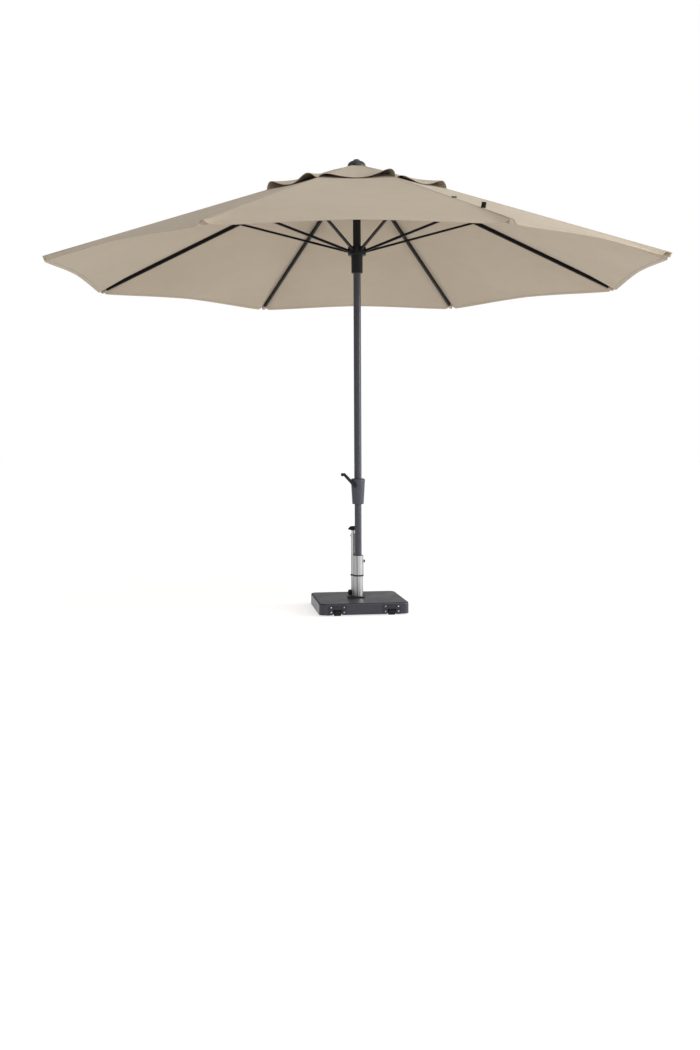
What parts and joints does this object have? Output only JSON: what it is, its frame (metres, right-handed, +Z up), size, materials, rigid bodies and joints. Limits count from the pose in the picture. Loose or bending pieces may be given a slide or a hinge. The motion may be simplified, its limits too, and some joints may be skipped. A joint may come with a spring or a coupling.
{
  "type": "patio umbrella with base",
  "caption": "Centre-pole patio umbrella: octagonal canopy that folds on struts and a runner by a crank, in a tube on a square stone slab with wheels and a pull-out handle.",
  "frame": {"origin": "on the ground, on the pole's axis, under the slab's centre", "axes": "+Z up along the pole; one flat side of the open octagonal canopy faces -Y; the crank is on the -Y side"},
  "size_m": [3.6974, 3.6974, 2.933],
  "materials": {
    "granite": "dark grey granite, fine speckle, honed top",
    "rubber": "matt black",
    "stainless_steel": "brushed along the tube",
    "dark_steel": "satin dark powder coat",
    "black_plastic": "fine moulded texture",
    "housing_plastic": "satin dark grey, moulded",
    "finial_plastic": "satin, dark warm grey",
    "grey_coated_tube": "anthracite powder coat",
    "black_coated_rib": "black powder coat",
    "canopy_cloth": "taupe woven polyester, plain weave"
  },
  "bodies": {
    "stand": {"base_slab": "granite", "base_feet": "rubber", "base_screws": "stainless_steel", "wheel_brackets": "dark_steel", "wheel_axles": "dark_steel", "tube_flange": "dark_steel", "stand_tube": "stainless_steel", "tube_sleeve": "black_plastic", "handle_tube": "stainless_steel", "handle_band": "black_plastic"},
    "mast": {"pole_lower": "grey_coated_tube", "pole_upper": "grey_coated_tube", "crank_housing": "housing_plastic", "hub": "black_plastic", "top_plug": "black_plastic", "finial": "finial_plastic"},
    "rib_1": {"rib_1": "black_coated_rib", "rib_fittings_1": "black_plastic", "canopy_1": "canopy_cloth"},
    "strut_1": {"strut_1": "black_coated_rib"},
    "rib_2": {"rib_2": "black_coated_rib", "rib_fittings_2": "black_plastic", "canopy_2": "canopy_cloth"},
    "strut_2": {"strut_2": "black_coated_rib"},
    "rib_3": {"rib_3": "black_coated_rib", "rib_fittings_3": "black_plastic", "canopy_3": "canopy_cloth"},
    "strut_3": {"strut_3": "black_coated_rib"},
    "rib_4": {"rib_4": "black_coated_rib", "rib_fittings_4": "black_plastic", "canopy_4": "canopy_cloth"},
    "strut_4": {"strut_4": "black_coated_rib"},
    "rib_5": {"rib_5": "black_coated_rib", "rib_fittings_5": "black_plastic", "canopy_5": "canopy_cloth"},
    "strut_5": {"strut_5": "black_coated_rib"},
    "rib_6": {"rib_6": "black_coated_rib", "rib_fittings_6": "black_plastic", "canopy_6": "canopy_cloth"},
    "strut_6": {"strut_6": "black_coated_rib"},
    "rib_7": {"rib_7": "black_coated_rib", "rib_fittings_7": "black_plastic", "canopy_7": "canopy_cloth"},
    "strut_7": {"strut_7": "black_coated_rib"},
    "rib_8": {"rib_8": "black_coated_rib", "rib_fittings_8": "black_plastic", "canopy_8": "canopy_cloth"},
    "strut_8": {"strut_8": "black_coated_rib"},
    "runner": {"runner": "black_plastic"},
    "crank": {"crank_arm": "dark_steel", "winding_drum": "black_plastic"},
    "crank_grip": {"crank_grip": "black_plastic"},
    "cord_pulley": {"cord_pulley": "black_plastic"},
    "wheel_left": {"wheel_left": "rubber"},
    "wheel_right": {"wheel_right": "rubber"},
    "clamp_knob": {"clamp_knob": "black_plastic"},
    "foot_knob": {"foot_knob": "black_plastic"},
    "handle": {"handle_rod": "stainless_steel", "handle_grip": "black_plastic"},
    "handle_button": {"handle_button": "black_plastic"}
  },
  "joints": [
    {"name": "mast_turn", "type": "hinge", "parent": "stand", "child": "mast", "pos_m": [0, 0, 0.35], "axis": [0, 0, 1], "range_deg": [-180, 180]},
    {"name": "canopy_fold", "type": "hinge", "parent": "mast", "child": "rib_1", "pos_m": [0.01913, -0.04619, 2.8294], "axis": [0.9239, 0.3827, 0], "range_deg": [0, 66], "deforming": ["canopy_1"]},
    {"name": "rib_2_fold", "type": "hinge", "parent": "mast", "child": "rib_2", "pos_m": [0.04619, -0.01913, 2.8294], "axis": [0.3827, 0.9239, 0], "range_deg": [0, 66], "deforming": ["canopy_2"]},
    {"name": "rib_3_fold", "type": "hinge", "parent": "mast", "child": "rib_3", "pos_m": [0.04619, 0.01913, 2.8294], "axis": [-0.3827, 0.9239, 0], "range_deg": [0, 66], "deforming": ["canopy_3"]},
    {"name": "rib_4_fold", "type": "hinge", "parent": "mast", "child": "rib_4", "pos_m": [0.01913, 0.04619, 2.8294], "axis": [-0.9239, 0.3827, 0], "range_deg": [0, 66], "deforming": ["canopy_4"]},
    {"name": "rib_5_fold", "type": "hinge", "parent": "mast", "child": "rib_5", "pos_m": [-0.01913, 0.04619, 2.8294], "axis": [-0.9239, -0.3827, 0], "range_deg": [0, 66], "deforming": ["canopy_5"]},
    {"name": "rib_6_fold", "type": "hinge", "parent": "mast", "child": "rib_6", "pos_m": [-0.04619, 0.01913, 2.8294], "axis": [-0.3827, -0.9239, 0], "range_deg": [0, 66], "deforming": ["canopy_6"]},
    {"name": "rib_7_fold", "type": "hinge", "parent": "mast", "child": "rib_7", "pos_m": [-0.04619, -0.01913, 2.8294], "axis": [0.3827, -0.9239, 0], "range_deg": [0, 66], "deforming": ["canopy_7"]},
    {"name": "rib_8_fold", "type": "hinge", "parent": "mast", "child": "rib_8", "pos_m": [-0.01913, -0.04619, 2.8294], "axis": [0.9239, -0.3827, 0], "range_deg": [0, 66], "deforming": ["canopy_8"]},
    {"name": "strut_1_pivot", "type": "hinge", "parent": "rib_1", "child": "strut_1", "pos_m": [0.33294, -0.8038, 2.58073], "axis": [0.9239, 0.3827, 0], "range_deg": [-132, 0]},
    {"name": "strut_2_pivot", "type": "hinge", "parent": "rib_2", "child": "strut_2", "pos_m": [0.8038, -0.33294, 2.58073], "axis": [0.3827, 0.9239, 0], "range_deg": [-132, 0]},
    {"name": "strut_3_pivot", "type": "hinge", "parent": "rib_3", "child": "strut_3", "pos_m": [0.8038, 0.33294, 2.58073], "axis": [-0.3827, 0.9239, 0], "range_deg": [-132, 0]},
    {"name": "strut_4_pivot", "type": "hinge", "parent": "rib_4", "child": "strut_4", "pos_m": [0.33294, 0.8038, 2.58073], "axis": [-0.9239, 0.3827, 0], "range_deg": [-132, 0]},
    {"name": "strut_5_pivot", "type": "hinge", "parent": "rib_5", "child": "strut_5", "pos_m": [-0.33294, 0.8038, 2.58073], "axis": [-0.9239, -0.3827, 0], "range_deg": [-132, 0]},
    {"name": "strut_6_pivot", "type": "hinge", "parent": "rib_6", "child": "strut_6", "pos_m": [-0.8038, 0.33294, 2.58073], "axis": [-0.3827, -0.9239, 0], "range_deg": [-132, 0]},
    {"name": "strut_7_pivot", "type": "hinge", "parent": "rib_7", "child": "strut_7", "pos_m": [-0.8038, -0.33294, 2.58073], "axis": [0.3827, -0.9239, 0], "range_deg": [-132, 0]},
    {"name": "strut_8_pivot", "type": "hinge", "parent": "rib_8", "child": "strut_8", "pos_m": [-0.33294, -0.8038, 2.58073], "axis": [0.9239, -0.3827, 0], "range_deg": [-132, 0]},
    {"name": "runner_pivot", "type": "hinge", "parent": "strut_1", "child": "runner", "pos_m": [0.01913, -0.04619, 2.33205], "axis": [0.9239, 0.3827, 0], "range_deg": [0, 66]},
    {"name": "crank_turn", "type": "hinge", "parent": "mast", "child": "crank", "pos_m": [0, 0, 0.805], "axis": [-0.342, -0.9397, 0], "range_deg": [0, 4320]},
    {"name": "pulley_spin", "type": "hinge", "parent": "mast", "child": "cord_pulley", "pos_m": [0, 0, 2.826], "axis": [0, 1, 0], "range_deg": [0, 5750]},
    {"name": "crank_grip_spin", "type": "hinge", "parent": "crank", "child": "crank_grip", "pos_m": [-0.06977, 0.02539, 0.87925], "axis": [-0.342, -0.9397, 0], "continuous": true},
    {"name": "wheel_left_roll", "type": "hinge", "parent": "stand", "child": "wheel_left", "pos_m": [-0.13164, -0.29923, 0.02], "axis": [0.9903, 0.1392, 0], "continuous": true},
    {"name": "wheel_right_roll", "type": "hinge", "parent": "stand", "child": "wheel_right", "pos_m": [0.20902, -0.25136, 0.02], "axis": [0.9903, 0.1392, 0], "continuous": true},
    {"name": "clamp_knob_turn", "type": "hinge", "parent": "stand", "child": "clamp_knob", "pos_m": [0.04, 0, 0.314], "axis": [1, 0, 0], "range_deg": [0, 180]},
    {"name": "foot_knob_turn", "type": "hinge", "parent": "stand", "child": "foot_knob", "pos_m": [-0.034, 0.031, 0.108], "axis": [-0.8988, -0.4384, 0], "range_deg": [0, 180]},
    {"name": "handle_slide", "type": "slide", "parent": "stand", "child": "handle", "axis": [0, 0, 1], "range_m": [0, 0.14]},
    {"name": "handle_button_press", "type": "slide", "parent": "stand", "child": "handle_button", "axis": [1, 0, 0], "range_m": [0, 0.0022], "stiffness_N_per_m": 600}
  ],
  "couplings": [
    {"joint": "rib_2_fold", "follows": "canopy_fold", "ratio": 1},
    {"joint": "rib_3_fold", "follows": "canopy_fold", "ratio": 1},
    {"joint": "rib_4_fold", "follows": "canopy_fold", "ratio": 1},
    {"joint": "rib_5_fold", "follows": "canopy_fold", "ratio": 1},
    {"joint": "rib_6_fold", "follows": "canopy_fold", "ratio": 1},
    {"joint": "rib_7_fold", "follows": "canopy_fold", "ratio": 1},
    {"joint": "rib_8_fold", "follows": "canopy_fold", "ratio": 1},
    {"joint": "strut_1_pivot", "follows": "canopy_fold", "ratio": -2},
    {"joint": "strut_2_pivot", "follows": "canopy_fold", "ratio": -2},
    {"joint": "strut_3_pivot", "follows": "canopy_fold", "ratio": -2},
    {"joint": "strut_4_pivot", "follows": "canopy_fold", "ratio": -2},
    {"joint": "strut_5_pivot", "follows": "canopy_fold", "ratio": -2},
    {"joint": "strut_6_pivot", "follows": "canopy_fold", "ratio": -2},
    {"joint": "strut_7_pivot", "follows": "canopy_fold", "ratio": -2},
    {"joint": "strut_8_pivot", "follows": "canopy_fold", "ratio": -2},
    {"joint": "runner_pivot", "follows": "canopy_fold", "ratio": 1},
    {"joint": "crank_turn", "follows": "canopy_fold", "ratio": 65.455},
    {"joint": "pulley_spin", "follows": "canopy_fold", "ratio": 87.04}
  ]
}
